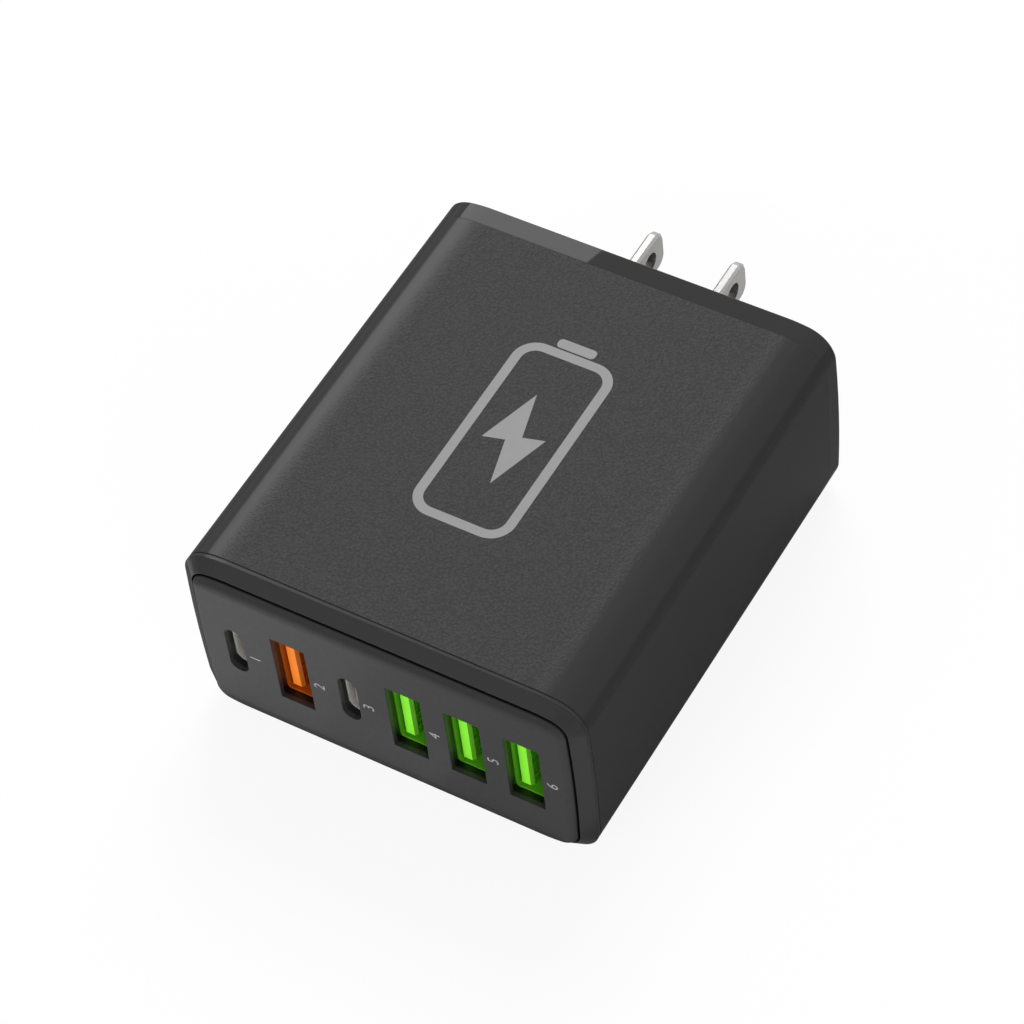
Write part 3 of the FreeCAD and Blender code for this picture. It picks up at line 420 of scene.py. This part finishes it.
def band_mesh(name, outer, inner, matrix):
    """A closed band of ink between two outlines with as many corners each."""
    shape = bmesh.new()
    low, high = INK_PROUD - INK_DEPTH, INK_PROUD
    rings = []
    for corners, height in ((outer, low), (outer, high), (inner, high), (inner, low)):
        rings.append([shape.verts.new((x, y, height)) for x, y in corners])
    count = len(outer)
    for ring, following in zip(rings, rings[1:] + rings[:1]):
        for i in range(count):
            j = (i + 1) % count
            shape.faces.new((ring[i], ring[j], following[j], following[i]))
    return finished_mesh(name, shape, matrix)


def rounded(width, height, radius, steps=10):
    """Corners of a rectangle with round corners, centred on zero."""
    corners = []
    for quarter, (sx, sy) in enumerate(((1, 1), (-1, 1), (-1, -1), (1, -1))):
        for step in range(steps + 1):
            turn = (quarter + step / steps) * pi / 2
            x = sx * (width / 2 - radius) + radius * cos(turn)
            y = sy * (height / 2 - radius) + radius * sin(turn)
            corners.append((x, y))
    return corners


def print_battery():
    """A battery with a lightning bolt on the top face, read with the ports on the left."""
    length, breadth, radius, line = 31 * MM, 14.5 * MM, 3.4 * MM, 1.35 * MM
    knob_length, knob_breadth, knob_radius, knob_offset = 1.5 * MM, 5.6 * MM, 0.6 * MM, 1.0 * MM
    bolt = [(-7.6, -0.9), (1.4, -3.9), (0.6, -0.9), (7.6, 0.9), (-1.4, 3.9), (-0.6, 0.9)]
    mark_place = Matrix.Translation((0.2 * MM, 1.2 * MM, top_z)) @ Matrix.Rotation(pi / 2, 4, "Z")

    outer = rounded(length, breadth, radius)
    inner = rounded(length - 2 * line, breadth - 2 * line, radius - line)
    add_print("mark_outline", band_mesh("mark_outline", outer, inner, mark_place))
    knob_x = length / 2 + knob_offset
    knob = [(knob_x + x, y) for x, y in rounded(knob_length, knob_breadth, knob_radius, steps=6)]
    add_print("mark_knob", slab_mesh("mark_knob", knob, mark_place))
    bolt = [(x * MM, y * MM) for x, y in bolt]
    add_print("mark_bolt", slab_mesh("mark_bolt", bolt, mark_place))


def number_mesh(number, size):
    """A number as a thin slab of ink, flat in its own x and y."""
    text = bpy.data.curves.new(f"port_number_{number}", "FONT")
    text.body = str(number)
    text.size = size
    text.extrude = INK_DEPTH / 2
    text.align_x = "CENTER"
    text.align_y = "CENTER"
    source = bpy.data.objects.new(f"port_number_{number}_text", text)
    scene.collection.objects.link(source)
    bpy.context.view_layer.update()
    mesh = bpy.data.meshes.new_from_object(source.evaluated_get(bpy.context.evaluated_depsgraph_get()))
    bpy.data.objects.remove(source)
    return mesh


def print_port_numbers():
    """A plain number beside each port, read upwards."""
    number_size, number_gap = 2.3 * MM, 1.55 * MM
    half_opening = {"usb_a": 2.55 * MM, "usb_c": 1.38 * MM}
    ink_y = front_y + INK_DEPTH / 2 - INK_PROUD
    ports = [mount for mount in mounts if mount["kind"] == "slide"]
    ports.sort(key=lambda mount: mount["pos_m"][0])
    for number, port in enumerate(ports, start=1):
        mesh = number_mesh(number, number_size)
        kind = port["name"][:len("usb_a")]
        x = port["pos_m"][0] + half_opening[kind] + number_gap
        # Text x runs up the panel, text y towards -X, and its face looks along -Y
        mesh.transform(Matrix(((0, -1, 0, x), (0, 0, -1, ink_y), (1, 0, 0, middle_z), (0, 0, 0, 1))))
        add_print(f"port_number_{number}", mesh)


print_battery()
print_port_numbers()


# Floor and world

def ray_share(tree, camera, glossy, transmission):
    """How much of its own white a backdrop shows to each kind of ray."""
    path = add(tree, "ShaderNodeLightPath").outputs
    shares = (("Is Camera Ray", camera), ("Is Glossy Ray", glossy), ("Is Transmission Ray", transmission))
    seen, mirrored, through = [compute(tree, "MULTIPLY", path[name], share) for name, share in shares]
    return compute(tree, "ADD", compute(tree, "ADD", seen, mirrored), through)


def mixed(tree, factor, first, second):
    """A shader that runs from the first to the second with the factor."""
    sockets = {0: factor, 1: first.outputs[0], 2: second.outputs[0]}
    return add(tree, "ShaderNodeMixShader", sockets)


def floor_paint():
    """White paint for the camera. Mirrored, the floor is dull, with a painted shadow that makes it darker
    beside the case.
    """
    white, dull, dark = (0.88, 0.88, 0.88), (0.24, 0.24, 0.24), (0.09, 0.09, 0.09)
    material = bpy.data.materials.new("floor")
    material.use_nodes = True
    tree = material.node_tree
    tree.nodes.clear()
    x, y, _ = split(tree, position(tree))
    # Painted shadow: in reflections the floor is darker beside the case
    outside = compute(tree, "GREATER_THAN", compute(tree, "ABSOLUTE", x), case_high.x)
    beside = compute(tree, "MULTIPLY", outside, compute(tree, "GREATER_THAN", y, front_y))
    paint = add(tree, "ShaderNodeBsdfDiffuse", {"Color": (*white, 1)})
    dull_paint = add(tree, "ShaderNodeBsdfDiffuse", {"Color": between(tree, beside, dull, dark)})
    glow = add(tree, "ShaderNodeEmission", {"Color": (1, 1, 1, 1), "Strength": 1.0})
    is_mirrored = add(tree, "ShaderNodeLightPath").outputs["Is Glossy Ray"]
    painted = mixed(tree, is_mirrored, paint, dull_paint)
    surface = mixed(tree, ray_share(tree, 0.9, 0.04, 0.9), painted, glow)
    add(tree, "ShaderNodeOutputMaterial", {"Surface": surface.outputs[0]})
    return material


def add_floor():
    reach, gap = 3.0, 0.02 * MM
    corners = [(-reach, -reach, 0), (reach, -reach, 0), (reach, reach, 0), (-reach, reach, 0)]
    mesh = bpy.data.meshes.new("floor")
    mesh.from_pydata(corners, [], [(0, 1, 2, 3)])
    mesh.materials.append(floor_paint())
    floor = bpy.data.objects.new("floor", mesh)
    floor.location.z = -gap
    scene.collection.objects.link(floor)


def set_world():
    """White for the camera, and a plain grey light on the part."""
    world = bpy.data.worlds.new("studio")
    scene.world = world
    world.use_nodes = True
    tree = world.node_tree
    tree.nodes.clear()
    seen = add(tree, "ShaderNodeBackground", {"Color": (1, 1, 1, 1), "Strength": 1.0})
    light = add(tree, "ShaderNodeBackground", {"Color": (1, 1, 1, 1), "Strength": 0.26})
    surface = mixed(tree, ray_share(tree, 1.0, 0.06, 1.0), light, seen)
    add(tree, "ShaderNodeOutputWorld", {"Surface": surface.outputs[0]})


add_floor()
set_world()


# Lamps

def add_lamp(name, place, target, size, power, mirrored=False, upright=(0, 0, 1)):
    """A rectangular lamp aimed at a point. One that isn't mirrored lights only the matt part of a surface."""
    lamp = bpy.data.lights.new(name, "AREA")
    lamp.shape = "RECTANGLE"
    lamp.size, lamp.size_y = size
    lamp.energy = power
    obj = bpy.data.objects.new(name, lamp)
    back = (Vector(place) - Vector(target)).normalized()
    across = Vector(upright).cross(back).normalized()
    along = back.cross(across)
    obj.matrix_world = Matrix.Translation(place) @ Matrix((across, along, back)).transposed().to_4x4()
    obj.visible_glossy = mirrored
    scene.collection.objects.link(obj)


def add_card(name, left, right, depth, brightness):
    """A lit card that lies on the floor before the panel and is mirrored in it."""
    near, lift = front_y - 1.2 * MM, 1 * MM
    x, y, width = (left + right) / 2, near - depth / 2, right - left
    power = brightness * pi * width * depth
    add_lamp(name, (x, y, lift), (x, y, 1), (width, depth), power, mirrored=True, upright=(0, 1, 0))


# The glossy cover mirrors both long edges of this softbox
soft_place = Vector((-0.412, 0.505, 0.528))
soft_target = soft_place - Vector((-0.539, 0.427, 0.726))
soft_along = (0.415, 0.885, -0.213)
add_lamp("softbox", soft_place, soft_target, (0.302, 0.52), 0.84, mirrored=True, upright=soft_along)
add_lamp("key", (-0.20, 0.60, 0.75), (0, 0, 0.02), (0.5, 0.5), 8.0)
add_lamp("front", (-0.25, -0.85, 0.22), (0, 0, 0.015), (0.5, 0.25), 4.5)
add_lamp("side", (0.60, -0.45, 0.30), (0, 0, 0.015), (0.4, 0.3), 2.0)
add_card("card_left", -88 * MM, -12 * MM, 60 * MM, brightness=0.384)
add_card("card_middle", -12 * MM, 6 * MM, 60 * MM, brightness=0.16)
add_card("card_right", -12 * MM, 50 * MM, 16.5 * MM, brightness=0.11)


# Camera

AZIMUTH, ELEVATION, ROLL = radians(35.9025), radians(51.6437), -0.13465
CAMERA_PLACE = (0.182264, -0.252775, 0.410775)
back = Vector((sin(AZIMUTH) * cos(ELEVATION), -cos(AZIMUTH) * cos(ELEVATION), sin(ELEVATION)))
right = Vector((0, 0, 1)).cross(back).normalized()
up = back.cross(right)
turned_right = cos(ROLL) * right + sin(ROLL) * up
turned_up = cos(ROLL) * up - sin(ROLL) * right
axes = Matrix((turned_right, turned_up, back)).transposed().to_4x4()
camera_data = bpy.data.cameras.new("camera")
camera_data.sensor_fit = "HORIZONTAL"
camera_data.sensor_width = 36
camera_data.lens = 136.464
camera_data.clip_start = 0.05
camera_data.clip_end = 20
camera = bpy.data.objects.new("camera", camera_data)
camera.matrix_world = Matrix.Translation(CAMERA_PLACE) @ axes
scene.collection.objects.link(camera)
scene.camera = camera
scene.view_settings.view_transform = "Standard"
